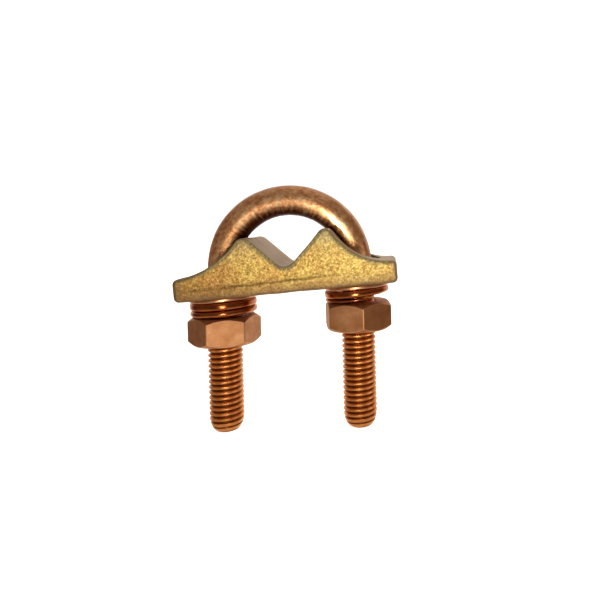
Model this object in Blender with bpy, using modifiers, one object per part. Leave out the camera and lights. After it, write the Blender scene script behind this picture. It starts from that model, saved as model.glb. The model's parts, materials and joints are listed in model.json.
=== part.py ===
"""Ground clamp for an earth rod: a U-bolt, a cast V saddle, and a washer set and nut on each leg.

Units are metres, +Z is up. The origin is the centre of the U-bolt's bow, X runs from leg to leg,
Z runs along the legs, and the clamped rod would lie along Y. The nuts are run up unevenly, so the
saddle hangs a few degrees off level.
"""

from math import atan2, cos, pi, radians, sin, tan

import bmesh
import bpy

MM = 0.001
GAP = 0.3 * MM                      # left between pieces that touch
ROUND_STEPS = 48                    # facets round a turned piece
OVERSHOOT = 5 * MM                  # how far a cutter runs past what it cuts
CORNER_MARGIN = 1 * MM              # how far a nut's chamfer cones run past its corners

# U-bolt: one rod, rolled M10 x 1.5 thread on both legs
LEG_X = 19.25 * MM                  # from the centre to each leg's axis, and the bow's radius
ROD_RADIUS = 4.35 * MM              # the plain rod, which is the blank of the rolled thread
THREAD_RADIUS = 4.85 * MM           # over the crests
LEG_LENGTH = 46.4 * MM              # bow centre to leg tip
THREAD_LENGTH = 38.9 * MM
THREAD_RUNOUT = 1.2 * MM
TIP_RADIUS = 3.5 * MM
TIP_LENGTH = 1.6 * MM
BOW_STEPS = 28
ROD_BEVEL_RESOLUTION = 10

# Saddle, in its own frame: x along it from the notch, z up from its flat underside
SADDLE_WIDTH = 24.0 * MM
NOTCH_APEX = 5.25 * MM              # where the two flanks would meet
NOTCH_RADIUS = 3.4 * MM
NOTCH_HALF_ANGLE = radians(45)
END_RADIUS = 1.0 * MM
EDGE_ROUND = 0.9 * MM
HOLE_RADIUS = 6.3 * MM
BOW_RELIEF = 0.4 * MM               # clearance of the groove that the bow seats in

# The casting's two halves differ a little: the right peak is taller and sharper than the left one
SADDLE_LEFT = {"length": 30.2 * MM, "ear_height": 5.8 * MM, "ear_slope": radians(6),
               "peak_height": 15.3 * MM, "peak_radius": 2.3 * MM}
SADDLE_RIGHT = {"length": 29.8 * MM, "ear_height": 5.65 * MM, "ear_slope": radians(1.5),
                "peak_height": 15.95 * MM, "peak_radius": 1.7 * MM}

# Where the saddle hangs on the legs
SADDLE_TILT = radians(3.8)          # right ear up
SADDLE_SHIFT = 1.0 * MM             # within the play of the ear holes
SADDLE_UNDERSIDE = -6.0 * MM        # height of the underside at the saddle's middle

# Washers
PLAIN_OUTER = 9.5 * MM
PLAIN_INNER = 5.4 * MM
PLAIN_THICKNESS = 1.1 * MM
SPRING_OUTER = 9.1 * MM
SPRING_SECTION = (3.8 * MM, 2.2 * MM)   # radial width, thickness
SPRING_SPLIT = radians(9)
SPRING_STEPS = 44

# Nuts
NUT_ACROSS_FLATS = 17.7 * MM
NUT_HEIGHT = 8.0 * MM
NUT_FACE_RADIUS = 8.45 * MM         # of the round land left by the chamfer
NUT_CHAMFER = radians(36)
NUT_BORE = 5.15 * MM
NUT_COUNTERSINK = 5.7 * MM

# One leg's own values: its side, its nut's height and turn, and its spring washer's rise and split
LEGS = {
    "left": {"side": -1, "nut_z": -17.4 * MM, "nut_turn": radians(17),
             "rise": 1.4 * MM, "split_at": radians(100)},
    "right": {"side": 1, "nut_z": -14.3 * MM, "nut_turn": radians(42),
              "rise": 0.8 * MM, "split_at": radians(215)},
}

# name: base colour, roughness, metallic
METALS = {
    "copper_rod": ((0.55, 0.24, 0.11), 0.35, 1.0),
    "cast_gunmetal": ((0.42, 0.28, 0.10), 0.6, 0.8),
    "copper_washer": ((0.60, 0.27, 0.12), 0.3, 1.0),
    "copper_spring": ((0.50, 0.21, 0.09), 0.35, 1.0),
    "copper_nut": ((0.50, 0.27, 0.16), 0.4, 1.0),
}


def clear_scene():
    for obj in list(bpy.data.objects):
        bpy.data.objects.remove(obj, do_unlink=True)


def new_collection(name):
    collection = bpy.data.collections.new(name)
    bpy.context.scene.collection.children.link(collection)
    return collection


def metal(name):
    """The named metal for one piece; pieces of one metal share it."""
    if name in bpy.data.materials:
        return bpy.data.materials[name]
    colour, roughness, metallic = METALS[name]
    material = bpy.data.materials.new(name)
    material.use_nodes = True
    shader = material.node_tree.nodes["Principled BSDF"]
    shader.inputs["Base Color"].default_value = (*colour, 1.0)
    shader.inputs["Roughness"].default_value = roughness
    shader.inputs["Metallic"].default_value = metallic
    return material


def add_object(name, data, collection, metal_name=None):
    obj = bpy.data.objects.new(name, data)
    collection.objects.link(obj)
    if metal_name:
        data.materials.append(metal(metal_name))
    return obj


def mesh_from(name, bm):
    bmesh.ops.recalc_face_normals(bm, faces=bm.faces)
    mesh = bpy.data.meshes.new(name)
    bm.to_mesh(mesh)
    bm.free()
    return mesh


def add_cutter(obj):
    obj.hide_render = True
    obj.display_type = "WIRE"
    return obj


def add_boolean(obj, cutter, operation):
    modifier = obj.modifiers.new(cutter.name, "BOOLEAN")
    modifier.operation = operation
    modifier.solver = "EXACT"
    modifier.object = cutter


def smooth(mesh, angle=radians(35)):
    mesh.shade_smooth()
    mesh.set_sharp_from_angle(angle=angle)


def arc(centre, radius, start, end, steps):
    """Points along an arc, both ends included."""
    points = []
    for i in range(steps + 1):
        angle = start + (end - start) * i / steps
        points.append((centre[0] + radius * cos(angle), centre[1] + radius * sin(angle)))
    return points


def turned(name, profile, collection, metal_name=None):
    """A ring turned about Z from a closed profile of (radius, height) points, outer side first, top down."""
    bm = bmesh.new()
    verts = [bm.verts.new((radius, 0.0, height)) for radius, height in profile]
    for i, vert in enumerate(verts):
        bm.edges.new((vert, verts[(i + 1) % len(verts)]))
    mesh = bpy.data.meshes.new(name)
    bm.to_mesh(mesh)
    bm.free()
    obj = add_object(name, mesh, collection, metal_name)
    screw = obj.modifiers.new("turn", "SCREW")
    screw.axis = "Z"
    screw.angle = 2 * pi
    screw.steps = ROUND_STEPS
    screw.render_steps = ROUND_STEPS
    screw.use_merge_vertices = True
    screw.merge_threshold = 0.00001
    screw.use_smooth_shade = True
    return obj


def rod_stations():
    """The U-bolt's centreline as (x, z, radius), from the left tip round the bow to the right tip."""
    tip = -LEG_LENGTH
    leg = [
        (tip, TIP_RADIUS),
        (tip + TIP_LENGTH, THREAD_RADIUS),
        (tip + THREAD_LENGTH, THREAD_RADIUS),
        (tip + THREAD_LENGTH + THREAD_RUNOUT, ROD_RADIUS),
    ]
    left = [(-LEG_X, z, radius) for z, radius in leg]
    bow = [(x, z, ROD_RADIUS) for x, z in arc((0.0, 0.0), LEG_X, pi, 0.0, BOW_STEPS)]
    right = [(LEG_X, z, radius) for z, radius in reversed(leg)]
    return left + bow + right


def make_u_bolt(collection):
    curve = bpy.data.curves.new("u_bolt", "CURVE")
    curve.dimensions = "3D"
    curve.bevel_depth = 1.0             # each point's radius is then the rod's radius in metres
    curve.bevel_resolution = ROD_BEVEL_RESOLUTION
    curve.use_fill_caps = True
    stations = rod_stations()
    spline = curve.splines.new("POLY")
    spline.points.add(len(stations) - 1)
    for point, (x, z, radius) in zip(spline.points, stations):
        point.co = (x, 0.0, z, 1.0)
        point.radius = radius
    return add_object("u_bolt", curve, collection, "copper_rod")


def peak_centre(half):
    """Centre of a peak's round top, which is tangent to the notch's flank."""
    z = half["peak_height"] - half["peak_radius"]
    flank_x = (z - NOTCH_APEX) * tan(NOTCH_HALF_ANGLE)
    return flank_x + half["peak_radius"] / cos(NOTCH_HALF_ANGLE), z


def ear_arc(half, start):
    """Centre and radius of the hollow arc that leaves the ear at start and runs up to the peak's top."""
    peak_x, peak_z = peak_centre(half)
    peak_radius, slope = half["peak_radius"], half["ear_slope"]
    run, rise = start[0] - peak_x, start[1] - peak_z
    along = run * sin(slope) + rise * cos(slope)
    radius = (run ** 2 + rise ** 2 - peak_radius ** 2) / (2 * (peak_radius - along))
    return (start[0] + radius * sin(slope), start[1] + radius * cos(slope)), radius


def half_outline(half):
    """One half of the saddle, from the notch's bottom over the peak and ear to the underside's middle."""
    flank = pi / 2 - NOTCH_HALF_ANGLE
    notch_centre = (0.0, NOTCH_APEX + NOTCH_RADIUS / sin(NOTCH_HALF_ANGLE))
    peak = peak_centre(half)
    slope = half["ear_slope"]
    end_x = half["length"] - END_RADIUS
    corner = (end_x, half["ear_height"] - END_RADIUS)
    ear_end = (corner[0] + END_RADIUS * sin(slope), corner[1] + END_RADIUS * cos(slope))
    hollow, hollow_radius = ear_arc(half, ear_end)
    to_hollow = atan2(hollow[1] - peak[1], hollow[0] - peak[0])
    points = arc(notch_centre, NOTCH_RADIUS, -pi / 2, -pi / 2 + flank, 5)
    points += arc(peak, half["peak_radius"], pi / 2 + flank, to_hollow, 6)
    points += arc(hollow, hollow_radius, to_hollow + pi, 3 * pi / 2 - slope, 9)[1:]
    points += arc(corner, END_RADIUS, pi / 2 - slope, 0.0, 3)[1:]
    points += arc((end_x, END_RADIUS), END_RADIUS, 0.0, -pi / 2, 3)
    return points


def make_saddle(collection, cutters):
    left = [(-x, z) for x, z in reversed(half_outline(SADDLE_LEFT))]
    outline = left + half_outline(SADDLE_RIGHT)[1:]
    bm = bmesh.new()
    front = bm.faces.new([bm.verts.new((x, -SADDLE_WIDTH / 2, z)) for x, z in outline])
    extruded = bmesh.ops.extrude_face_region(bm, geom=[front])
    moved = [item for item in extruded["geom"] if isinstance(item, bmesh.types.BMVert)]
    bmesh.ops.translate(bm, verts=moved, vec=(0.0, SADDLE_WIDTH, 0.0))
    mesh = mesh_from("saddle", bm)
    saddle = add_object("saddle", mesh, collection, "cast_gunmetal")
    saddle.location = (SADDLE_SHIFT, 0.0, SADDLE_UNDERSIDE)
    saddle.rotation_euler = (0.0, -SADDLE_TILT, 0.0)
    edges = saddle.modifiers.new("rounded edges", "BEVEL")
    edges.width = EDGE_ROUND
    edges.segments = 2
    edges.limit_method = "ANGLE"
    edges.angle_limit = radians(60)
    for side, name in ((-1, "left"), (1, "right")):
        hole = hole_cutter(name + "_ear_hole", side, cutters)
        hole.parent = saddle
        add_boolean(saddle, hole, "DIFFERENCE")
    add_boolean(saddle, bow_cutter(cutters), "DIFFERENCE")
    smooth(mesh)
    return saddle


def hole_cutter(name, side, cutters):
    bm = bmesh.new()
    height = SADDLE_RIGHT["peak_height"]
    bmesh.ops.create_cone(bm, cap_ends=True, segments=ROUND_STEPS, radius1=HOLE_RADIUS,
                          radius2=HOLE_RADIUS, depth=height + 2 * OVERSHOOT)
    cutter = add_cutter(add_object(name, mesh_from(name, bm), cutters))
    cutter.location = (side * LEG_X, 0.0, height / 2)
    return cutter


def bow_cutter(cutters):
    """A torus round the bow, which leaves each peak a shallow seat for it."""
    bpy.ops.mesh.primitive_torus_add(major_radius=LEG_X, minor_radius=ROD_RADIUS + BOW_RELIEF,
                                     major_segments=72, minor_segments=24,
                                     rotation=(pi / 2, 0.0, 0.0))
    cutter = bpy.context.object
    cutter.name = "bow_relief"
    for collection in list(cutter.users_collection):
        collection.objects.unlink(cutter)
    cutters.objects.link(cutter)
    return add_cutter(cutter)


def underside_z(x):
    """Height of the saddle's sloping underside over a point x."""
    return SADDLE_UNDERSIDE + (x - SADDLE_SHIFT) * tan(SADDLE_TILT)


def make_flat_washer(name, side, collection):
    """A plain washer lying against the underside, so it shares the saddle's slope."""
    half = PLAIN_THICKNESS / 2
    profile = [(PLAIN_OUTER, half), (PLAIN_OUTER, -half), (PLAIN_INNER, -half), (PLAIN_INNER, half)]
    washer = turned(name, profile, collection, "copper_washer")
    middle = underside_z(side * LEG_X) - (GAP + half) / cos(SADDLE_TILT)
    washer.location = (side * LEG_X, 0.0, middle)
    washer.rotation_euler = (0.0, -SADDLE_TILT, 0.0)
    return washer


def make_spring_washer(name, leg, collection):
    """A split washer: a strip as high as the wire is thick, wound once as a helix, then thickened inwards."""
    width, thickness = SPRING_SECTION
    turn = 2 * pi - SPRING_SPLIT
    start = (SPRING_OUTER * cos(leg["split_at"]), SPRING_OUTER * sin(leg["split_at"]))
    bm = bmesh.new()
    top = bm.verts.new((*start, thickness))
    bottom = bm.verts.new((*start, 0.0))
    bm.edges.new((top, bottom))
    mesh = bpy.data.meshes.new(name)
    bm.to_mesh(mesh)
    bm.free()
    washer = add_object(name, mesh, collection, "copper_spring")
    screw = washer.modifiers.new("one turn", "SCREW")
    screw.axis = "Z"
    screw.angle = turn
    screw.screw_offset = leg["rise"]
    screw.steps = SPRING_STEPS
    screw.render_steps = SPRING_STEPS
    screw.use_smooth_shade = True
    solidify = washer.modifiers.new("wire width", "SOLIDIFY")
    solidify.thickness = width
    solidify.offset = -1.0
    solidify.use_even_offset = True
    washer.location = (leg["side"] * LEG_X, 0.0, leg["nut_z"] + NUT_HEIGHT / 2 + GAP)
    return washer


def nut_profile():
    """Half section of the nut's round envelope: chamfered outside, countersunk bore."""
    half = NUT_HEIGHT / 2
    reach = NUT_ACROSS_FLATS / 2 / cos(pi / 6) + CORNER_MARGIN
    drop = (reach - NUT_FACE_RADIUS) * tan(NUT_CHAMFER)
    sink = NUT_COUNTERSINK - NUT_BORE
    return [
        (NUT_FACE_RADIUS, half),
        (reach, half - drop),
        (reach, drop - half),
        (NUT_FACE_RADIUS, -half),
        (NUT_COUNTERSINK, -half),
        (NUT_BORE, sink - half),
        (NUT_BORE, half - sink),
        (NUT_COUNTERSINK, half),
    ]


def make_nut(name, leg, collection, cutters):
    bm = bmesh.new()
    corner = NUT_ACROSS_FLATS / 2 / cos(pi / 6)
    bmesh.ops.create_cone(bm, cap_ends=True, segments=6, radius1=corner, radius2=corner,
                          depth=NUT_HEIGHT + 2 * OVERSHOOT)
    nut = add_object(name, mesh_from(name, bm), collection, "copper_nut")
    nut.location = (leg["side"] * LEG_X, 0.0, leg["nut_z"])
    # the prism's first corner lies on +Y
    nut.rotation_euler = (0.0, 0.0, leg["nut_turn"] - pi / 2)
    envelope = add_cutter(turned(name + "_envelope", nut_profile(), cutters))
    envelope.location = nut.location
    add_boolean(nut, envelope, "INTERSECT")
    return nut


def main():
    clear_scene()
    parts = new_collection("ground_clamp")
    cutters = new_collection("cutters")
    make_u_bolt(parts)
    make_saddle(parts, cutters)
    for leg_name, leg in LEGS.items():
        make_flat_washer(leg_name + "_flat_washer", leg["side"], parts)
        make_spring_washer(leg_name + "_spring_washer", leg, parts)
        make_nut(leg_name + "_nut", leg, parts, cutters)


main()
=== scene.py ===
import json
from math import atan2, cos, pi, radians, sin, sqrt, tan

import bmesh
import bpy
from mathutils import Matrix, Vector, noise
from mathutils.kdtree import KDTree


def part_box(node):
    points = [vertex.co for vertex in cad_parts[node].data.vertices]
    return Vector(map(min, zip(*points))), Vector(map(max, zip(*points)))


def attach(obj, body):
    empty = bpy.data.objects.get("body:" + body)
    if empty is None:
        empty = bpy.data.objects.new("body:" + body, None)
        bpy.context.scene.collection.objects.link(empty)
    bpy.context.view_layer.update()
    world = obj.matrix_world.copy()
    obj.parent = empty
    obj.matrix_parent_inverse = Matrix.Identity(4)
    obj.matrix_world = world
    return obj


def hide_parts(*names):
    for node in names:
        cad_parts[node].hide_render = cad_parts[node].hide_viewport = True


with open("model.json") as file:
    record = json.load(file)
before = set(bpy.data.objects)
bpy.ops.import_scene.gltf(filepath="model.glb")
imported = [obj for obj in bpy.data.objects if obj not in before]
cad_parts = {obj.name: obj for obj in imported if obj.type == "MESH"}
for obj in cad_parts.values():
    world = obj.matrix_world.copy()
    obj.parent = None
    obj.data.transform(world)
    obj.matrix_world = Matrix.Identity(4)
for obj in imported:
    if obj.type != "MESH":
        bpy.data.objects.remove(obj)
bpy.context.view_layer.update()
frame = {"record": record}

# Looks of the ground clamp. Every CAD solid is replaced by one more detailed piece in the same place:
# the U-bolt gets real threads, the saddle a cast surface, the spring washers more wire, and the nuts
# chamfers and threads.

MM = 0.001

# ---------------------------------------------------------------- sizes taken from the CAD frame
BOLT_LOW, BOLT_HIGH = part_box("u_bolt")
LEG_X = (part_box("right_nut")[0].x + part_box("right_nut")[1].x) / 2
THREAD_RADIUS = BOLT_HIGH.x - LEG_X
ROD_RADIUS = BOLT_HIGH.z - LEG_X            # the bow's radius equals the legs' distance from the centre
TIP_Z = BOLT_LOW.z
FLANK_AXIS = [m for m in frame["record"]["mounts"] if m["name"] == "v_flank_left"][0]["axis"]
SADDLE_TILT = atan2(FLANK_AXIS[2], FLANK_AXIS[0]) - pi / 4

# ---------------------------------------------------------------- thread, M10 x 1.5, right-handed
PITCH = 1.5 * MM
THREAD_DEPTH = 0.62 * MM
THREAD_LENGTH = 38.9 * MM
CREST_HALF = 0.14                           # in pitches
ROOT_HALF = 0.09
PER_TURN = 32                               # samples along one pitch and round the rod
TIP_ROUND = 5.0 * MM                        # length of the rounded tip
TIP_DROP = 2.3 * MM                         # how much radius the tip loses
TIP_LAND = 0.86                             # radius of the flat disc on the tip, as a share of its last ring
RUNOUT = 1.4 * MM
BOW_RINGS = 128
BOW_DENT = 0.05 * MM                        # unevenness of the bent rod
WRINKLE_DEPTH = 0.12 * MM                   # of the wrinkles on the inside of the bend
BRIGHT_BELOW = -6.0 * MM                    # below this height the legs are bright copper

# ---------------------------------------------------------------- saddle, in its own frame
SADDLE_LEFT = {"length": 30.2 * MM, "ear_height": 5.8 * MM, "ear_slope": radians(6),
               "peak_height": 15.3 * MM, "peak_radius": 2.3 * MM}
SADDLE_RIGHT = {"length": 29.8 * MM, "ear_height": 5.65 * MM, "ear_slope": radians(1.5),
                "peak_height": 15.95 * MM, "peak_radius": 1.7 * MM}
WIDTH = 24.0 * MM
SWELL = 0.42 * MM                           # the casting bulges past the plain outline by this much
SWELL_BELOW = 0.34 * MM                     # and by this much underneath, to leave the washers room
RIM = 2.0 * MM                              # width of the darker border on the front and back
NOTCH_APEX = 5.25 * MM
NOTCH_RADIUS = 3.4 * MM
END_RADIUS = 1.0 * MM
EDGE_INSET = 1.15 * MM                      # how far the rounded front edge reaches onto the front face
EDGE_DEPTH = 1.25 * MM                      # and how far back from it
HOLE_RADIUS = 6.3 * MM
BOW_RELIEF = 0.4 * MM
VOXEL = 0.25 * MM
EDGE_RINGS = 9                              # rings of points across each rounded front edge
BORDER_STEPS = 8                            # points along each side of the outline, to measure from
CAST_WAVE, CAST_RIPPLE, CAST_GRAIN = 0.11, 0.05, 0.05     # relief of the cast skin, in millimetres
CAST_SINK = 0.12                            # how far the skin lies in on average, in millimetres
STEP_DEPTH = 0.50 * MM                      # the base stands proud of the V block by this much
STEP_LEAST = 0.2                            # share of that depth which is left at the ears
STEP_HEIGHT = 2.9 * MM
STEP_SLOPE = 0.025
STEP_FADE_LEFT = (16 * MM, 27 * MM)         # the step fades between these distances from the notch
STEP_FADE_RIGHT = (4 * MM, 15 * MM)

# ---------------------------------------------------------------- washers and nuts
WASHER_THICKNESS = 0.9 * MM
WASHER_BORE = 5.4 * MM
WASHER_RADIUS = 9.5 * MM
SPRING_RADIUS = 9.3 * MM
SPRING_BORE = 5.3 * MM
SPRING_ROUND = 0.75 * MM
SPRING_CLEARANCE = 0.12 * MM                # between the nut and the lowest point of the wire
SPRING_STEP = 3.5                           # degrees between sections of the wire
SPRING_PINCH = 0.10                         # how much smaller the wire is at its two ends, in millimetres
# how each spring washer leans, and its wire's (angle round the leg in degrees, underside, top in millimetres)
SPRINGS = {
    "left": {"lean": radians(2.8),
             "wire": ((165, 0.0, 1.70), (375, 0.0, 1.70), (525, 1.76, 3.98), (735, 1.76, 3.98))},
    "right": {"lean": radians(5.5),
              "wire": ((165, 0.82, 3.1), (255, 0.82, 2.85), (375, 0.82, 2.5),
                       (520, 0.0, 0.78), (570, 0.0, 0.76), (660, 0.0, 0.3))},
}
ACROSS_FLATS = 17.7 * MM
NUT_LAND = 8.45 * MM
NUT_CHAMFER = radians(36)
NUT_CORNER = 0.45 * MM
NUT_TURN = {"left": radians(17), "right": radians(42)}
NUT_THREAD_CREST = 4.30 * MM
NUT_THREAD_ROOT = 5.06 * MM
NUT_SINK = 5.55 * MM
NUT_EASE = 0.16 * MM                        # roundness of the edges round each chamfer
NUT_BORE_ROWS = 96
NUT_EDGE_POINTS = (8, 9, 15, 16)            # the section's points where a chamfer meets the side
NUT_SIDE_POINTS = range(9, 16)
NUT_CORNER_HIGHLIGHT = (0.972, 0.995)            # the painted highlight on the corners starts and is full at these shares of a half side
# where each side is sampled, as shares of a half side from its middle
NUT_SAMPLES = (-1, -0.985, -0.965, -0.94, -0.85, -0.65, -0.4, -0.2,
               0, 0.2, 0.4, 0.65, 0.85, 0.94, 0.965, 0.985)

# ---------------------------------------------------------------- key light and camera
KEY_PLACE = (12, -168, -33)                 # in millimetres, beside the camera
KEY_TARGET = (0, 0, -4)
CAMERA_AT = Vector((28.62, -160.36, 12.51)) * MM
CAMERA_TURN = -0.0219                       # in radians, positive to the left
CAMERA_DIP = 0.0023
CAMERA_ROLL = -0.0252
CAMERA_LENS = 33.04
CAMERA_SHIFT = (-0.1667, -0.13)


# ================================================================ small helpers

def smoothstep(low, high, value):
    t = min(1.0, max(0.0, (value - low) / (high - low)))
    return t * t * (3 - 2 * t)


def arc(centre, radius, start, end, steps):
    """Points along an arc, both ends included."""
    points = []
    for i in range(steps + 1):
        angle = start + (end - start) * i / steps
        points.append((centre[0] + radius * cos(angle), centre[1] + radius * sin(angle)))
    return points


def new_piece(name, vertices, faces, material, body, node):
    """A shown piece that stands for one CAD node and rides on that node's body."""
    mesh = bpy.data.meshes.new(name)
    mesh.from_pydata(vertices, [], faces)
    mesh.validate()
    mesh.shade_smooth()
    mesh.materials.append(material)
    piece = bpy.data.objects.new(name, mesh)
    bpy.context.scene.collection.objects.link(piece)
    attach(piece, body)
    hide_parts(node)
    return piece


def store(mesh, name, kind, values):
    """A value for each vertex, which the piece's material reads by name."""
    attribute = mesh.attributes.new(name, kind, "POINT")
    key = "vector" if kind == "FLOAT_VECTOR" else "value"
    attribute.data.foreach_set(key, values)


def ring_faces(rings, columns, closed, split=False):
    """Faces between consecutive rings of points. split cuts each quad into two triangles."""
    faces = []
    last = rings if closed else rings - 1
    for r in range(last):
        low, high = r * columns, ((r + 1) % rings) * columns
        for i in range(columns):
            j = (i + 1) % columns
            a, b, c, d = low + i, low + j, high + j, high + i
            if split:
                faces += [(a, b, c), (a, c, d)]
            else:
                faces.append((a, b, c, d))
    return faces


# ================================================================ U-bolt

def thread_phase(z, angle):
    """Pitches from the crest of a right-handed thread, at a height and an angle about its axis."""
    return z / PITCH - angle / (2 * pi)


def thread_wave(phase):
    """Height of the thread over its root, 0 to 1, at a phase counted in pitches from the crest."""
    away = abs(phase - round(phase))
    rise = (0.5 - ROOT_HALF - away) / (0.5 - ROOT_HALF - CREST_HALF)
    return smoothstep(-0.12, 1.12, rise)


def bolt_radius(z, angle):
    """Radius of a leg at a height and an angle about its own axis."""
    top = TIP_Z + THREAD_LENGTH
    wave = thread_wave(thread_phase(z, angle))
    cut = THREAD_RADIUS - THREAD_DEPTH * (1 - wave)
    fade = smoothstep(top - RUNOUT, top, z)
    radius = cut + (ROD_RADIUS - cut) * fade
    rise = min(1.0, (z - TIP_Z) / TIP_ROUND)
    limit = THREAD_RADIUS - TIP_DROP * (1 - sqrt(max(0.0, 1 - (1 - rise) ** 2)))
    return min(radius, limit)


def leg_rings(side):
    """Rings of one leg from its tip up, each a list of (point, sweep, crest)."""
    runout = TIP_Z + THREAD_LENGTH - RUNOUT
    rows = round(THREAD_LENGTH / PITCH * PER_TURN)
    heights = [TIP_Z + THREAD_LENGTH * i / rows for i in range(rows + 1)]
    heights += [heights[-1] * (1 - i / 6) for i in range(1, 6)]
    rings = []
    for z in heights:
        ring = []
        for i in range(PER_TURN):
            around = 2 * pi * i / PER_TURN
            angle = around if side < 0 else pi - around
            radius = bolt_radius(z, angle)
            crest = thread_wave(thread_phase(z, angle)) if z < runout else 1.0
            point = (side * LEG_X + radius * cos(angle), radius * sin(angle), z)
            sweep = (side * (LEG_X * pi / 2 - z), radius * cos(around), radius * sin(around))
            ring.append((point, sweep, crest))
        rings.append(ring)
    return rings


def bow_rings():
    """Rings of the bow from the left leg to the right one, wrinkled where the bend pressed its inside."""
    rings = []
    for k in range(BOW_RINGS + 1):
        turn = pi - pi * k / BOW_RINGS
        centre = Vector((LEG_X * cos(turn), 0.0, LEG_X * sin(turn)))
        inward = Vector((-cos(turn), 0.0, -sin(turn)))
        ring = []
        for i in range(PER_TURN):
            around = 2 * pi * i / PER_TURN
            dent = noise.noise(Vector((turn * 4.0, cos(around), sin(around)))) * BOW_DENT
            radius = ROD_RADIUS - 0.04 * MM + dent
            inner = smoothstep(-0.1, 0.9, cos(around)) * sin(turn) ** 3
            wrinkle = noise.noise(Vector((turn * 30, cos(around) * 0.6, 5.0)))
            radius += WRINKLE_DEPTH * inner * min(0.0, wrinkle)
            point = centre + inward * (radius * cos(around))
            point.y = radius * sin(around)
            sweep = ((pi / 2 - turn) * LEG_X, radius * cos(around), radius * sin(around))
            ring.append((tuple(point), sweep, 1.0))
        rings.append(ring)
    return rings


def close_tip(first, flip, vertices, sweeps, crests, faces):
    """Closes a leg's last ring, whose vertices start at first, with a narrow ring and a flat disc."""
    loop = list(range(first, first + PER_TURN))
    centre = sum((Vector(vertices[v]) for v in loop), Vector()) / PER_TURN
    inner = []
    for v in loop:
        point = centre.lerp(Vector(vertices[v]), TIP_LAND)
        inner.append(len(vertices))
        vertices.append((point.x, point.y, point.z))
        sweeps += [0.0, point.x - centre.x, point.y]
        crests.append(0.8)
    for i in range(PER_TURN):
        j = (i + 1) % PER_TURN
        quad = (loop[j], loop[i], inner[i], inner[j])
        faces.append(quad[::-1] if flip else quad)
    faces.append(tuple(inner if flip else inner[::-1]))


def make_u_bolt(material):
    left, bow, right = leg_rings(-1), bow_rings(), leg_rings(1)
    rings = left + bow + right[::-1]
    vertices = [point for ring in rings for point, _, _ in ring]
    sweeps = [value for ring in rings for _, sweep, _ in ring for value in sweep]
    crests = [crest for ring in rings for _, _, crest in ring]
    faces = ring_faces(len(left), PER_TURN, False, split=True)
    middle = ring_faces(len(bow) + 2, PER_TURN, False)
    start = (len(left) - 1) * PER_TURN
    faces += [tuple(v + start for v in face) for face in middle]
    start = (len(left) + len(bow)) * PER_TURN
    last = ring_faces(len(right), PER_TURN, False, split=True)
    faces += [tuple(v + start for v in face) for face in last]
    for first in (0, len(vertices) - PER_TURN):
        close_tip(first, first > 0, vertices, sweeps, crests, faces)
    piece = new_piece("threaded_u_bolt", vertices, faces, material, "u_bolt", "u_bolt")
    store(piece.data, "sweep", "FLOAT_VECTOR", sweeps)
    store(piece.data, "crest", "FLOAT", crests)
    return piece


# ================================================================ saddle

def half_outline(half):
    """One half of the saddle, from the notch's bottom over the peak and ear to the underside's middle."""
    flank = pi / 4
    slope, peak_radius = half["ear_slope"], half["peak_radius"]
    peak_z = half["peak_height"] - peak_radius
    peak = (peak_z - NOTCH_APEX + peak_radius / cos(flank), peak_z)
    notch = (0.0, NOTCH_APEX + NOTCH_RADIUS / sin(flank))
    corner = (half["length"] - END_RADIUS, half["ear_height"] - END_RADIUS)
    ear_end = (corner[0] + END_RADIUS * sin(slope), corner[1] + END_RADIUS * cos(slope))
    run, rise = ear_end[0] - peak[0], ear_end[1] - peak[1]
    along = run * sin(slope) + rise * cos(slope)
    hollow_radius = (run ** 2 + rise ** 2 - peak_radius ** 2) / (2 * (peak_radius - along))
    hollow = (ear_end[0] + hollow_radius * sin(slope), ear_end[1] + hollow_radius * cos(slope))
    to_hollow = atan2(hollow[1] - peak[1], hollow[0] - peak[0])
    points = arc(notch, NOTCH_RADIUS, -pi / 2, -pi / 2 + flank, 10)
    points += arc(peak, peak_radius, pi / 2 + flank, to_hollow, 14)
    points += arc(hollow, hollow_radius, to_hollow + pi, 3 * pi / 2 - slope, 30)[1:]
    points += arc(corner, END_RADIUS, pi / 2 - slope, 0.0, 6)[1:]
    points += arc((corner[0], END_RADIUS), END_RADIUS, 0.0, -pi / 2, 6)
    return points


def saddle_place(outline):
    """The transform from the saddle's own frame into the clamp, read off the CAD saddle's box."""
    turn = Matrix.Rotation(-SADDLE_TILT, 4, "Y")
    turned = [turn @ Vector((x, 0.0, z)) for x, z in outline]
    low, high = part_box("saddle")
    x = (low.x + high.x) / 2 - (min(p.x for p in turned) + max(p.x for p in turned)) / 2
    z = (low.z + high.z) / 2 - (min(p.z for p in turned) + max(p.z for p in turned)) / 2
    return Matrix.Translation((x, 0.0, z)) @ turn


def scratch_object(name, bm, place=None):
    mesh = bpy.data.meshes.new(name)
    bmesh.ops.recalc_face_normals(bm, faces=bm.faces)
    bm.to_mesh(mesh)
    bm.free()
    obj = bpy.data.objects.new(name, mesh)
    bpy.context.scene.collection.objects.link(obj)
    if place:
        obj.matrix_world = place
    return obj


def torus(name, major, minor, major_steps, minor_steps):
    """A torus about the Y axis."""
    bm = bmesh.new()
    rings = []
    for k in range(major_steps):
        turn = 2 * pi * k / major_steps
        ring = []
        for i in range(minor_steps):
            around = 2 * pi * i / minor_steps
            reach = major + minor * cos(around)
            ring.append(bm.verts.new((reach * cos(turn), minor * sin(around), reach * sin(turn))))
        rings.append(ring)
    for k, ring in enumerate(rings):
        following = rings[(k + 1) % major_steps]
        for i in range(minor_steps):
            j = (i + 1) % minor_steps
            bm.faces.new((ring[i], ring[j], following[j], following[i]))
    return scratch_object(name, bm)


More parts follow.
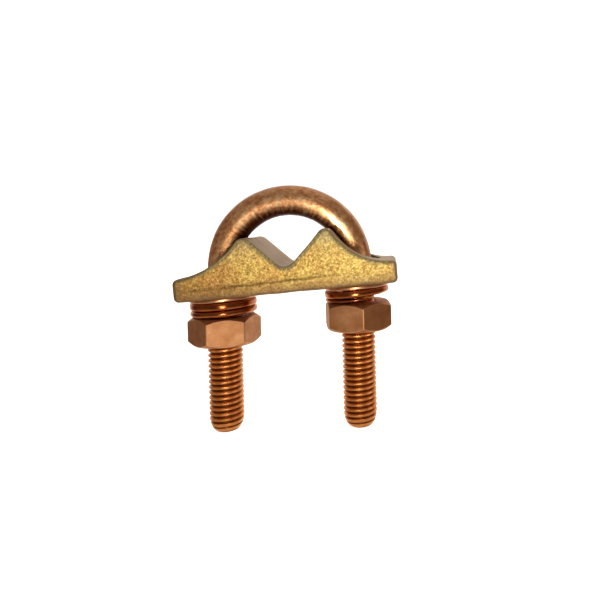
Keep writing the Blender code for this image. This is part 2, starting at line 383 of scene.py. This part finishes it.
def evaluated(obj, others):
    """The object's mesh with its modifiers applied; the object and its helpers are then removed."""
    bpy.context.view_layer.update()
    graph = bpy.context.evaluated_depsgraph_get()
    mesh = bpy.data.meshes.new_from_object(obj.evaluated_get(graph))
    for item in [obj] + others:
        bpy.data.objects.remove(item, do_unlink=True)
    return mesh


def inset(outline, depth):
    """The closed outline, which runs clockwise, swollen and then moved inwards by depth."""
    moved = []
    for i, (x, z) in enumerate(outline):
        before, after = outline[i - 1], outline[(i + 1) % len(outline)]
        along = Vector((after[0] - before[0], after[1] - before[1])).normalized()
        step = depth - SWELL_BELOW - (SWELL - SWELL_BELOW) * smoothstep(-0.9, -0.2, along.x)
        moved.append((x + along.y * step, z - along.x * step))
    return moved


def saddle_block(outline, place):
    """The plain saddle: outline, rounded edges, ear holes and bow grooves, on a fine even mesh."""
    levels = []
    for k in range(EDGE_RINGS):
        turn = pi / 2 * k / (EDGE_RINGS - 1)
        levels.append((WIDTH / 2 - EDGE_DEPTH * (1 - sin(turn)), EDGE_INSET * (1 - cos(turn))))
    rings = [(-y, depth) for y, depth in reversed(levels)] + levels
    bm = bmesh.new()
    loops = []
    for y, depth in rings:
        loops.append([bm.verts.new((x, y, z)) for x, z in inset(outline, depth)])
    for near, far in zip(loops, loops[1:]):
        for i in range(len(outline)):
            j = (i + 1) % len(outline)
            bm.faces.new((near[i], near[j], far[j], far[i]))
    bm.faces.new(loops[0])
    bm.faces.new(loops[-1])
    block = scratch_object("block", bm, place)
    cutters = []
    for side in (-1, 1):
        bm = bmesh.new()
        bmesh.ops.create_cone(bm, cap_ends=True, segments=64, radius1=HOLE_RADIUS, radius2=HOLE_RADIUS,
                              depth=3 * SADDLE_RIGHT["peak_height"])
        cutters.append(scratch_object("hole", bm, place @ Matrix.Translation((side * LEG_X, 0, 0))))
    cutters.append(torus("groove", LEG_X, ROD_RADIUS + BOW_RELIEF, 128, 32))
    for cutter in cutters:
        cut = block.modifiers.new("cut", "BOOLEAN")
        cut.operation = "DIFFERENCE"
        cut.solver = "EXACT"
        cut.object = cutter
    remesh = block.modifiers.new("even", "REMESH")
    remesh.mode = "VOXEL"
    remesh.voxel_size = VOXEL
    soften = block.modifiers.new("soften", "SMOOTH")
    soften.factor = 0.5
    soften.iterations = 9
    return evaluated(block, cutters)


def cast_relief(point, normal):
    """How far the cast skin stands off the plain shape at a point, in the saddle's own frame."""
    x, y, z = point
    flat = smoothstep(0.6, 0.9, abs(normal.y))
    wave = noise.noise(point * 210) * CAST_WAVE
    wave += noise.noise(point * 520 + Vector((3, 7, 1))) * CAST_RIPPLE * flat
    grain = noise.noise(point * 1700) * CAST_GRAIN * flat
    line = STEP_HEIGHT + STEP_SLOPE * x + noise.noise(Vector((x * 260, 3.0, 0.0))) * 0.25 * MM
    fade_from, fade_to = STEP_FADE_LEFT if x < 0 else STEP_FADE_RIGHT
    reach = 1 - smoothstep(fade_from, fade_to, abs(x))
    above = smoothstep(line - 0.1 * MM, line + 0.45 * MM, z)
    step = above * STEP_DEPTH * flat * (STEP_LEAST + (1 - STEP_LEAST) * reach)
    return (wave + grain - CAST_SINK) * MM - step


def border_tree(outline):
    """Closely spaced points along the outline, to measure distances from."""
    tree = KDTree(len(outline) * BORDER_STEPS)
    for i, (x, z) in enumerate(outline):
        next_x, next_z = outline[(i + 1) % len(outline)]
        for k in range(BORDER_STEPS):
            share = k / BORDER_STEPS
            point = (x + (next_x - x) * share, 0.0, z + (next_z - z) * share)
            tree.insert(point, i * BORDER_STEPS + k)
    tree.balance()
    return tree


def make_saddle(material):
    left = [(-x, z) for x, z in reversed(half_outline(SADDLE_LEFT))]
    outline = left + half_outline(SADDLE_RIGHT)[1:]
    place = saddle_place(outline)
    mesh = saddle_block(outline, place)
    points = [v.co.copy() for v in mesh.vertices]
    normals = [v.normal.copy() for v in mesh.vertices]
    border = border_tree(inset(outline, 0.0))
    vertices, facing, own, rim = [], [], [], []
    for point, normal in zip(points, normals):
        rim.append(border.find((point.x, 0.0, point.z))[2] / RIM)
        shifted = point + normal * cast_relief(point, normal)
        vertices.append(tuple(place @ shifted))
        facing.append(abs(normal.y))
        own += list(point)
    faces = [tuple(face.vertices) for face in mesh.polygons]
    bpy.data.meshes.remove(mesh)
    piece = new_piece("cast_saddle", vertices, faces, material, "saddle", "saddle")
    store(piece.data, "facing", "FLOAT", facing)
    store(piece.data, "own", "FLOAT_VECTOR", own)
    store(piece.data, "rim", "FLOAT", rim)
    return piece


# ================================================================ washers

def rounded_section(inner, outer, low, high, radius, steps=4):
    """A rectangular ring section with round corners, as (radius, height) points, counter-clockwise."""
    points = []
    corners = (
        (outer - radius, low + radius, -pi / 2),
        (outer - radius, high - radius, 0.0),
        (inner + radius, high - radius, pi / 2),
        (inner + radius, low + radius, pi),
    )
    for x, z, start in corners:
        points += arc((x, z), radius, start, start + pi / 2, steps)
    return points


def make_flat_washer(side_name, material):
    low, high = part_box(side_name + "_flat_washer")
    centre = (low + high) / 2
    half = WASHER_THICKNESS / 2
    section = rounded_section(WASHER_BORE, WASHER_RADIUS, -half, half, 0.24 * MM)
    place = Matrix.Translation(centre) @ Matrix.Rotation(-SADDLE_TILT, 4, "Y")
    steps = 96
    vertices = []
    for k in range(steps):
        turn = 2 * pi * k / steps
        for radius, height in section:
            vertices.append(tuple(place @ Vector((radius * cos(turn), radius * sin(turn), height))))
    faces = ring_faces(steps, len(section), True)
    name = side_name + "_plain_washer"
    node = side_name + "_flat_washer"
    return new_piece(name, vertices, faces, material, node, node)


def wire_at(wire, angle):
    """Underside and top of a spring washer's wire at an angle, in millimetres."""
    for (start, low_a, high_a), (end, low_b, high_b) in zip(wire, wire[1:]):
        if angle <= end:
            share = smoothstep(start, end, angle)
            return low_a + (low_b - low_a) * share, high_a + (high_b - high_a) * share
    return wire[-1][1:]


def make_spring_washer(side_name, material):
    """A flat wire wound past one turn, which leans between the nut and the sloping saddle."""
    spring = SPRINGS[side_name]
    wire, lean = spring["wire"], spring["lean"]
    low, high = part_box(side_name + "_spring_washer")
    nut_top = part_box(side_name + "_nut")[1].z
    lift = SPRING_CLEARANCE + SPRING_RADIUS * sin(lean)
    seat = Vector(((low.x + high.x) / 2, 0.0, nut_top + lift))
    place = Matrix.Translation(seat) @ Matrix.Rotation(-lean, 4, "Y")
    first, last = wire[0][0], wire[-1][0]
    steps = round((last - first) / SPRING_STEP)
    vertices = []
    for k in range(steps + 1):
        degrees = first + (last - first) * k / steps
        bottom, top = wire_at(wire, degrees)
        from_end = min(degrees - first, last - degrees)
        pinch = SPRING_PINCH * (1 - smoothstep(0.0, 5.0, from_end))
        corner = min(SPRING_ROUND, (top - bottom) * 0.42 * MM)
        section = rounded_section(SPRING_BORE, SPRING_RADIUS - pinch * MM,
                                  (bottom + pinch) * MM, (top - pinch) * MM, corner, 6)
        turn = radians(degrees)
        for reach, z in section:
            vertices.append(tuple(place @ Vector((reach * cos(turn), reach * sin(turn), z))))
    columns = len(section)
    faces = ring_faces(steps + 1, columns, False)
    faces.append(tuple(range(columns))[::-1])
    faces.append(tuple(range(steps * columns, (steps + 1) * columns)))
    name = side_name + "_coil_washer"
    node = side_name + "_spring_washer"
    return new_piece(name, vertices, faces, material, node, node)


# ================================================================ nuts

def hexagon_radius(angle):
    """Distance from the nut's axis to its side at an angle, with slightly rounded corners."""
    apothem = ACROSS_FLATS / 2
    sector = (angle + pi / 6) % (pi / 3) - pi / 6
    off_corner = pi / 6 - abs(sector)
    corner = (apothem - NUT_CORNER) / cos(pi / 6)
    limit = atan2(NUT_CORNER * 0.5, corner + NUT_CORNER * cos(pi / 6))
    if off_corner < limit:
        return corner * cos(off_corner) + sqrt(NUT_CORNER ** 2 - (corner * sin(off_corner)) ** 2)
    return apothem / cos(sector)


def nut_section(angle, half, z_middle, turned):
    """The nut's section at an angle, as (radius, height) points outwards from the bore's top and round."""
    reach = hexagon_radius(angle)
    span = reach - NUT_LAND
    ease = min(NUT_EASE, span * 0.3)
    slope = tan(NUT_CHAMFER)
    edge = half - span * slope
    outer = [
        (NUT_SINK, half),
        (NUT_SINK + 0.2 * MM, half),
        (NUT_LAND - 0.6 * MM, half),
        (NUT_LAND - ease, half),
        (NUT_LAND - ease * 0.3, half - ease * slope * 0.12),
        (NUT_LAND + ease * 0.6, half - ease * slope * 0.6),
        (reach - span * 0.5, half - span * 0.5 * slope),
        (reach - ease, half - (span - ease) * slope),
        (reach - ease * 0.3, edge + ease * 0.15),
        (reach - ease * 0.03, edge - ease * 0.5),
        (reach, edge - ease * 1.4),
        (reach, edge - ease * 4),
    ]
    side = outer + [(reach, 0.0)] + [(x, -z) for x, z in reversed(outer)]
    bore = []
    for i in range(NUT_BORE_ROWS + 1):
        z = -half + 2 * half * i / NUT_BORE_ROWS
        # the bore's thread is the bolt's, half a pitch further on
        wave = thread_wave(thread_phase(z + z_middle, angle + turned) + 0.5)
        thread = NUT_THREAD_ROOT - (NUT_THREAD_ROOT - NUT_THREAD_CREST) * wave
        sink = NUT_SINK - (half - abs(z)) * 1.2
        bore.append((max(thread, sink), z))
    return side + bore[1:-1]


def nut_edge_highlight(index, share):
    """How strongly the painted highlight brightens the nut, 0 to 1, at a point of the section and a share of
    a half side.
    """
    if index in NUT_EDGE_POINTS:
        return 1.0
    return smoothstep(*NUT_CORNER_HIGHLIGHT, abs(share)) if index in NUT_SIDE_POINTS else 0.0


def make_nut(side_name, material):
    low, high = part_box(side_name + "_nut")
    centre = (low + high) / 2
    half = (high.z - low.z) / 2
    turned = NUT_TURN[side_name] - pi / 6     # a side's middle lies 30 degrees before its corner
    vertices, painted_light = [], []
    for sector in range(6):
        for share in NUT_SAMPLES:
            angle = sector * pi / 3 + share * pi / 6
            section = nut_section(angle, half, centre.z, turned)
            for index, (radius, z) in enumerate(section):
                turn = angle + turned
                vertices.append((centre.x + radius * cos(turn), radius * sin(turn), centre.z + z))
                # painted highlight on the chamfer edges and corners
                painted_light.append(nut_edge_highlight(index, share))
    faces = [face[::-1] for face in ring_faces(6 * len(NUT_SAMPLES), len(section), True)]
    name = side_name + "_hexagon_nut"
    node = side_name + "_nut"
    piece = new_piece(name, vertices, faces, material, node, node)
    store(piece.data, "painted_light", "FLOAT", painted_light)
    return piece


# ================================================================ materials

class Nodes:
    """A material's node tree with short calls for the few kinds of node used here."""

    def __init__(self, name):
        self.material = bpy.data.materials.new(name)
        self.material.use_nodes = True
        self.tree = self.material.node_tree
        self.shader = self.tree.nodes["Principled BSDF"]

    def add(self, kind, inputs=(), **settings):
        node = self.tree.nodes.new(kind)
        for key, value in settings.items():
            setattr(node, key, value)
        for key, value in dict(inputs).items():
            self.put(node.inputs[key], value)
        return node

    def put(self, socket, value):
        if isinstance(value, bpy.types.NodeSocket):
            self.tree.links.new(value, socket)
        else:
            socket.default_value = value

    def attribute(self, name, output="Vector"):
        return self.add("ShaderNodeAttribute", attribute_name=name).outputs[output]

    def place(self):
        return self.add("ShaderNodeTexCoord").outputs["Object"]

    def scaled(self, vector, scale):
        return self.add("ShaderNodeMapping", {"Vector": vector, "Scale": scale}).outputs["Vector"]

    def noise(self, vector, scale, detail=3.0, rough=0.55):
        inputs = {"Vector": vector, "Scale": scale, "Detail": detail, "Roughness": rough}
        return self.add("ShaderNodeTexNoise", inputs).outputs["Fac"]

    def ramp(self, value, *stops):
        """stops are (position, value or colour) pairs."""
        node = self.add("ShaderNodeValToRGB", {"Fac": value})
        elements = node.color_ramp.elements
        while len(elements) < len(stops):
            elements.new(0.5)
        for element, (position, colour) in zip(elements, stops):
            if isinstance(colour, (int, float)):
                colour = (colour, colour, colour)
            element.position = position
            element.color = (*colour, 1)
        return node.outputs["Color"]

    def mix(self, factor, first, second, blend="MIX"):
        node = self.add("ShaderNodeMix", data_type="RGBA", blend_type=blend)
        for index, value in ((0, factor), (6, first), (7, second)):
            value = (*value, 1) if isinstance(value, tuple) else value
            self.put(node.inputs[index], value)
        return node.outputs[2]

    def math(self, operation, first, second=0.0):
        node = self.add("ShaderNodeMath", operation=operation)
        self.put(node.inputs[0], first)
        self.put(node.inputs[1], second)
        return node.outputs[0]

    def split(self, vector, axis):
        return self.add("ShaderNodeSeparateXYZ", {"Vector": vector}).outputs[axis]

    def bump(self, height, distance, strength=1.0, normal=None):
        node = self.add("ShaderNodeBump", {"Height": height, "Distance": distance, "Strength": strength})
        if normal:
            self.put(node.inputs["Normal"], normal)
        return node.outputs["Normal"]

    def finish(self, colour, roughness, normal, metallic=None):
        self.put(self.shader.inputs["Base Color"], colour)
        self.put(self.shader.inputs["Roughness"], roughness)
        self.put(self.shader.inputs["Normal"], normal)
        if metallic is not None:
            self.shader.inputs["Metallic"].default_value = metallic
        return self.material


def rod_copper():
    """Drawn copper: mottled on the bow, with painted shade on the inside and outside of the bend; bright on
    the thread's crests, with painted shade in its roots.
    """
    n = Nodes("copper_rod")
    sweep = n.attribute("sweep")
    crest = n.attribute("crest", "Fac")
    place = n.place()
    streaks = n.noise(n.scaled(sweep, (0.3, 1, 1)), 1500, 4, 0.6)
    mottle = n.noise(n.scaled(sweep, (0.8, 1, 1)), 800, 5, 0.75)
    patches = n.noise(sweep, 110, 3)
    pressed = n.noise(n.scaled(sweep, (1, 0.12, 0.12)), 900, 3, 0.6)
    colour = n.ramp(mottle, (0.34, (0.42, 0.165, 0.062)), (0.5, (0.84, 0.45, 0.195)),
                    (0.64, (1.0, 0.76, 0.46)))
    colour = n.mix(n.ramp(patches, (0.42, 0.0), (0.66, 0.30)), colour, (0.40, 0.165, 0.075))
    # across the bow: 0 on the inside of the bend, 1 on the outside. Painted shade darkens the inside of the
    # bend in ragged streaks and the outside more softly, so only a middle band stays bright
    flat = n.scaled(place, (1, 0, 1))
    reach = n.add("ShaderNodeVectorMath", {0: flat}, operation="LENGTH").outputs["Value"]
    across = n.math("DIVIDE", n.math("SUBTRACT", reach, LEG_X - ROD_RADIUS), 2 * ROD_RADIUS)
    ragged = n.math("ADD", across, n.math("MULTIPLY", n.math("SUBTRACT", pressed, 0.5), 0.45))
    colour = n.mix(n.ramp(ragged, (0.12, 0.97), (0.42, 0.0)), colour, (0.085, 0.020, 0.006))
    colour = n.mix(n.ramp(across, (0.62, 0.0), (0.95, 0.60)), colour, (0.36, 0.145, 0.070))
    thread = n.ramp(mottle, (0.3, (0.72, 0.25, 0.065)), (0.7, (0.95, 0.43, 0.13)))
    below = n.math("LESS_THAN", n.split(place, "Z"), BRIGHT_BELOW)
    colour = n.mix(below, colour, thread)
    # painted shade in the thread's roots, where crest is low
    colour = n.mix(n.ramp(crest, (0.0, 0.96), (0.68, 0.0)), colour, (0.11, 0.028, 0.008))
    # the right shoulder is burnished: along is 0 at the bow's top and 0.9 where the right leg starts
    along = n.math("MULTIPLY", n.split(sweep, "X"), 30.0)
    shoulder = n.ramp(along, (0.25, 0.0), (0.42, 1.0), (0.75, 1.0), (0.9, 0.0))
    drawn = n.ramp(streaks, (0.3, 0.46), (0.7, 0.58))
    burnished = n.ramp(streaks, (0.3, 0.30), (0.7, 0.40))
    satin = n.mix(shoulder, drawn, burnished)
    roughness = n.mix(below, satin, (0.42, 0.42, 0.42))
    rough = n.math("MULTIPLY", n.math("SUBTRACT", 1.0, below), 0.6)
    normal = n.bump(streaks, 0.00003, rough)
    normal = n.bump(mottle, 0.00012, rough, normal)
    return n.finish(colour, roughness, normal, 1.0)


def cast_gunmetal():
    """Sand-cast gunmetal: yellow and grainy on the front and back, grey-brown on the skin round them."""
    n = Nodes("cast_gunmetal")
    own = n.attribute("own")
    facing = n.attribute("facing", "Fac")
    x, z = n.split(own, "X"), n.split(own, "Z")
    grain = n.noise(own, 1700, 4, 0.75)
    fine = n.noise(own, 3600, 2, 0.6)
    clouds = n.noise(own, 150, 3, 0.5)
    brass = n.ramp(grain, (0.34, (0.26, 0.160, 0.060)), (0.47, (0.52, 0.370, 0.115)),
                   (0.56, (0.72, 0.54, 0.175)), (0.68, (0.92, 0.78, 0.38)))
    tone = n.ramp(clouds, (0.32, (0.90, 0.76, 0.66)), (0.66, (1.0, 1.0, 0.84)))
    brass = n.mix(1.0, brass, tone, "MULTIPLY")
    # painted light and shade: darker and browner towards the left ear, brighter towards the middle and the
    # right, as the light falls
    along = n.math("ADD", n.math("MULTIPLY", x, 1 / (60 * MM)), 0.5)
    painted_light = n.ramp(along, (0.05, (0.79, 0.66, 0.60)), (0.5, (1.08, 1.04, 1.00)), (0.8, (1.02, 1.01, 1.0)))
    brass = n.mix(1.0, brass, painted_light, "MULTIPLY")
    # the step between the base and the V block: a painted highlight along its lip, and a painted shadow line
    # above it
    above = n.math("SUBTRACT", z, n.math("ADD", n.math("MULTIPLY", x, STEP_SLOPE), STEP_HEIGHT))
    wander = n.math("MULTIPLY", n.math("SUBTRACT", clouds, 0.5), 1.6 * MM)
    level = n.math("ADD", n.math("MULTIPLY", n.math("ADD", above, wander), 1 / (10 * MM)), 0.5)
    step_highlight_and_shadow = n.ramp(level, (0.38, 0.88), (0.46, 1.0), (0.50, 1.0), (0.54, 0.66), (0.60, 0.84), (0.74, 1.0))
    brass = n.mix(n.ramp(along, (0.58, 0.85), (0.74, 0.15)), brass, step_highlight_and_shadow, "MULTIPLY")
    # duller on the peaks
    peaks = n.ramp(z, (0.0110, 0.0), (0.0145, 1.0))
    dull = n.math("MULTIPLY", peaks, n.ramp(clouds, (0.35, 0.35), (0.6, 0.9)))
    brass = n.mix(dull, brass, (0.42, 0.34, 0.19))
    # the skin round the front and back, and the dark olive border between the two, which painted shade
    # darkens towards the very edge
    skin = n.ramp(clouds, (0.3, (0.30, 0.195, 0.103)), (0.7, (0.39, 0.255, 0.138)))
    olive = n.ramp(grain, (0.35, (0.22, 0.165, 0.060)), (0.65, (0.46, 0.36, 0.14)))
    ragged = n.math("MULTIPLY", n.math("SUBTRACT", grain, 0.5), 0.7)
    rim = n.math("ADD", n.attribute("rim", "Fac"), ragged)
    olive = n.mix(n.ramp(rim, (0.10, 0.90), (0.50, 0.0)), olive, (0.14, 0.100, 0.042))
    colour = n.mix(n.ramp(facing, (0.06, 0.0), (0.30, 1.0)), skin, olive)
    inside = n.ramp(rim, (0.36, 0.0), (0.85, 1.0))
    colour = n.mix(n.math("MULTIPLY", inside, n.ramp(facing, (0.3, 0.0), (0.6, 1.0))), colour, brass)
    # painted shade: dark brown at the very ends and along the underside's edge
    ends = n.ramp(along, (0.010, 0.75), (0.040, 0.0), (0.972, 0.0), (0.992, 0.55))
    under = n.ramp(z, (0.0, 0.85), (0.0011, 0.0))
    colour = n.mix(n.math("MAXIMUM", ends, under), colour, (0.24, 0.135, 0.060))
    roughness = n.ramp(grain, (0.3, 0.66), (0.7, 0.48))
    front = n.ramp(facing, (0.2, 0.0), (0.9, 1.0))
    height = n.math("MULTIPLY", n.math("ADD", grain, n.math("MULTIPLY", fine, 0.5)), front)
    normal = n.bump(height, 0.00022, 0.85)
    n.put(n.shader.inputs["Metallic"], n.ramp(facing, (0.6, 0.45), (0.95, 0.85)))
    return n.finish(colour, roughness, normal)


def turned_copper(name, dark, mid, light, rough_low, rough_high):
    """Satin copper for washers and nuts, with faint marks and scuffs, and a painted highlight on the nuts'
    edges and corners.
    """
    n = Nodes(name)
    bright = tuple(min(1.0, value * 1.35) for value in light)
    place = n.place()
    clouds = n.noise(place, 260, 4, 0.6)
    marks = n.noise(n.scaled(place, (1, 1, 3.2)), 900, 4, 0.7)
    colour = n.ramp(clouds, (0.3, dark), (0.5, mid), (0.72, light))
    specks_and_edge_highlight = n.ramp(n.noise(place, 1300, 2, 0.5), (0.68, 0.0), (0.76, 0.5))
    # the nuts' chamfer edges and corners get a painted highlight
    specks_and_edge_highlight = n.math("MAXIMUM", specks_and_edge_highlight, n.math("MULTIPLY", n.attribute("painted_light", "Fac"), 0.8))
    colour = n.mix(specks_and_edge_highlight, colour, bright)
    roughness = n.ramp(marks, (0.3, rough_low), (0.7, rough_high))
    normal = n.bump(marks, 0.00004, 0.5)
    normal = n.bump(clouds, 0.00008, 0.4, normal)
    return n.finish(colour, roughness, normal, 1.0)


# ================================================================ stage

def make_floor():
    bm = bmesh.new()
    bmesh.ops.create_circle(bm, cap_ends=True, segments=96, radius=3.0)
    floor = scratch_object("floor", bm, Matrix.Translation((0, 0, TIP_Z - 0.2 * MM)))
    n = Nodes("floor")
    shade = n.ramp(n.noise(n.place(), 2.0, 2), (0.3, (0.86, 0.86, 0.86)), (0.7, (0.88, 0.88, 0.88)))
    n.put(n.shader.inputs["Base Color"], shade)
    n.shader.inputs["Roughness"].default_value = 0.9
    n.shader.inputs["Emission Color"].default_value = (1, 1, 1, 1)
    n.shader.inputs["Emission Strength"].default_value = 1.0
    floor.data.materials.append(n.material)
    floor.visible_glossy = False
    floor.visible_diffuse = False


def make_world():
    """White where the camera looks past the clamp; what the metal mirrors is dim at the sides."""
    world = bpy.data.worlds.new("studio")
    bpy.context.scene.world = world
    world.use_nodes = True
    nodes, links = world.node_tree.nodes, world.node_tree.links
    nodes.clear()
    direction = nodes.new("ShaderNodeTexCoord")
    split = nodes.new("ShaderNodeSeparateXYZ")
    links.new(direction.outputs["Generated"], split.inputs[0])
    # the first ramp runs from the front, at 0, to the back, at 1, and the second from below to above
    horizon = ((0.0, (0.11, 0.075, 0.055)), (0.14, (0.11, 0.075, 0.055)), (0.30, (0.13, 0.075, 0.045)),
               (0.66, (0.14, 0.075, 0.040)), (0.84, (1.0, 0.96, 0.88)), (1.0, (1.25, 1.2, 1.15)))
    height = ((0.0, (0.55, 0.50, 0.44)), (0.22, (0.45, 0.40, 0.34)), (0.40, (0, 0, 0)),
              (0.58, (0, 0, 0)), (0.8, (0.16, 0.15, 0.14)), (1.0, (0.26, 0.25, 0.24)))
    shades = []
    for axis, stops in (("Y", horizon), ("Z", height)):
        share = nodes.new("ShaderNodeMapRange")
        links.new(split.outputs[axis], share.inputs["Value"])
        share.inputs["From Min"].default_value = -1.0
        ramp = nodes.new("ShaderNodeValToRGB")
        links.new(share.outputs["Result"], ramp.inputs["Fac"])
        while len(ramp.color_ramp.elements) < len(stops):
            ramp.color_ramp.elements.new(0.5)
        for element, (position, colour) in zip(ramp.color_ramp.elements, stops):
            element.position = position
            element.color = (*colour, 1)
        shade = nodes.new("ShaderNodeBackground")
        links.new(ramp.outputs["Color"], shade.inputs["Color"])
        shades.append(shade)
    dim = nodes.new("ShaderNodeAddShader")
    links.new(shades[0].outputs[0], dim.inputs[0])
    links.new(shades[1].outputs[0], dim.inputs[1])
    white = nodes.new("ShaderNodeBackground")
    white.inputs["Color"].default_value = (1, 1, 1, 1)
    white.inputs["Strength"].default_value = 1.05
    path = nodes.new("ShaderNodeLightPath")
    mix = nodes.new("ShaderNodeMixShader")
    links.new(path.outputs["Is Camera Ray"], mix.inputs["Fac"])
    links.new(dim.outputs[0], mix.inputs[1])
    links.new(white.outputs[0], mix.inputs[2])
    output = nodes.new("ShaderNodeOutputWorld")
    links.new(mix.outputs[0], output.inputs["Surface"])


def make_light(name, place, target, size, power, colour=(1, 1, 1), spread=180, lit=None):
    """A soft box at place that faces target, in millimetres. It lights the pieces in lit, or all of them."""
    light = bpy.data.lights.new(name, "AREA")
    light.shape = "RECTANGLE"
    light.size, light.size_y = size[0] * MM, size[1] * MM
    light.energy = power
    light.color = colour
    light.spread = radians(spread)
    obj = bpy.data.objects.new(name, light)
    bpy.context.scene.collection.objects.link(obj)
    obj.location = Vector(place) * MM
    obj.rotation_euler = (Vector(target) * MM - obj.location).to_track_quat("-Z", "Y").to_euler()
    obj.visible_camera = False
    if lit:
        pieces = bpy.data.collections.new("lit_by_" + name)
        for piece in lit:
            pieces.objects.link(piece)
        obj.light_linking.receiver_collection = pieces


def make_lights(bolt, saddle, satin, springs):
    """satin holds the pieces with dull faces; the mirror-like spring washers need much less light."""
    dull = [bolt, saddle] + satin
    make_light("key", KEY_PLACE, KEY_TARGET, (32, 32), 0.115, (1.0, 0.96, 0.89), lit=dull)
    make_light("key_springs", KEY_PLACE, KEY_TARGET, (26, 26), 0.046, (1.0, 0.93, 0.82), lit=springs)
    make_light("top", (0, 40, 260), (0, 0, 0), (220, 220), 0.07)
    make_light("shoulder", (-29, -138, -7), (20, 0, 7), (12, 12), 0.0024, (1.0, 0.96, 0.88), 12, [bolt])
    make_light("bolt_right", (230, -70, -40), (0, 0, -20), (100, 100), 0.14, (1.0, 0.93, 0.86), lit=[bolt])
    make_light("bolt_left", (-230, -70, -40), (0, 0, -20), (100, 100), 0.03, (1.0, 0.88, 0.76), lit=[bolt])
    make_light("saddle_front", (100, -185, 10), (8, 0, 2), (120, 120), 0.33, (1.0, 0.98, 0.94), lit=[saddle])
    make_light("nut_side", (166, 200, -50), (-19, 0, -17), (120, 120), 0.05, (1.0, 0.96, 0.90), lit=satin)
    make_light("saddle_top", (60, 40, 240), (0, 0, 0), (200, 200), 0.18, lit=[saddle])


def make_camera():
    camera = bpy.data.cameras.new("camera")
    camera.lens = CAMERA_LENS
    camera.sensor_width = 36.0
    camera.shift_x, camera.shift_y = CAMERA_SHIFT
    camera.clip_start = 0.01
    obj = bpy.data.objects.new("camera", camera)
    bpy.context.scene.collection.objects.link(obj)
    flat = cos(CAMERA_DIP)
    ahead = Vector((-sin(CAMERA_TURN) * flat, cos(CAMERA_TURN) * flat, -sin(CAMERA_DIP)))
    level = ahead.cross(Vector((0, 0, 1))).normalized()
    above = level.cross(ahead)
    right = level * cos(CAMERA_ROLL) + above * sin(CAMERA_ROLL)
    up = above * cos(CAMERA_ROLL) - level * sin(CAMERA_ROLL)
    turn = Matrix((right, up, -ahead)).transposed().to_4x4()
    obj.matrix_world = Matrix.Translation(CAMERA_AT) @ turn
    bpy.context.scene.camera = obj


def main():
    bolt = make_u_bolt(rod_copper())
    saddle = make_saddle(cast_gunmetal())
    washer = turned_copper("copper_washer", (0.58, 0.25, 0.11), (0.78, 0.38, 0.18), (0.88, 0.50, 0.27),
                           0.28, 0.40)
    # the spring washers' copper is darker than the rest: partly dirt, partly painted shade where they sit
    # between the saddle and the nut
    spring = turned_copper("copper_spring", (0.32, 0.085, 0.025), (0.46, 0.14, 0.042), (0.62, 0.22, 0.075),
                           0.16, 0.22)
    nut = turned_copper("copper_nut", (0.45, 0.195, 0.080), (0.54, 0.257, 0.113), (0.62, 0.33, 0.162),
                        0.53, 0.62)
    satin, springs = [], []
    for side_name in ("left", "right"):
        satin.append(make_flat_washer(side_name, washer))
        springs.append(make_spring_washer(side_name, spring))
        satin.append(make_nut(side_name, nut))
    make_floor()
    make_world()
    make_lights(bolt, saddle, satin, springs)
    make_camera()
    bpy.context.scene.view_settings.view_transform = "Standard"


main()
